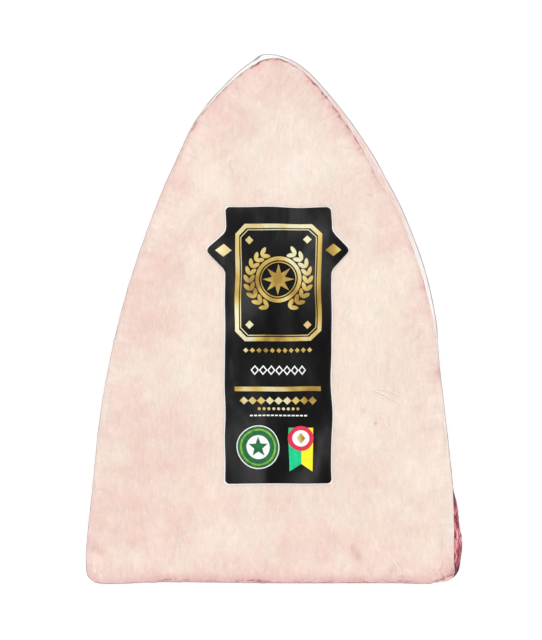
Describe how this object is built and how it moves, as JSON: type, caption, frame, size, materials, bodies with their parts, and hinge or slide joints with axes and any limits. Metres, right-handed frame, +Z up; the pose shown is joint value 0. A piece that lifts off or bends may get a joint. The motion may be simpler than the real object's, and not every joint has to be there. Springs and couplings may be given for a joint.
{
  "type": "vacuum-packed raw picanha",
  "caption": "Whole raw rump cap of beef, shield-shaped with a thick fat cap over lean muscle, in skin-tight clear film with a die-cut black label.",
  "frame": {"origin": "under the middle of the pack's bounding box, on the plane it rests on", "axes": "+Y from the broad cut end towards the tip, +Z up out of the fat cap, +X to the right of someone looking down at the fat with the tip pointing away"},
  "size_m": [0.1921, 0.2698, 0.0467],
  "materials": {
    "lean": "wet raw lean meat, dark purplish red, seen through clear film",
    "fat": "moist cream to pale pink beef fat, seen through clear film",
    "film": "clear shrink film, glossy",
    "label": "black coated paper with gold foil and coloured print, semi-gloss"
  },
  "bodies": {
    "root": {"lean": "lean", "fat_cap": "fat", "film_margin": "film", "label": "label"}
  },
  "joints": []
}
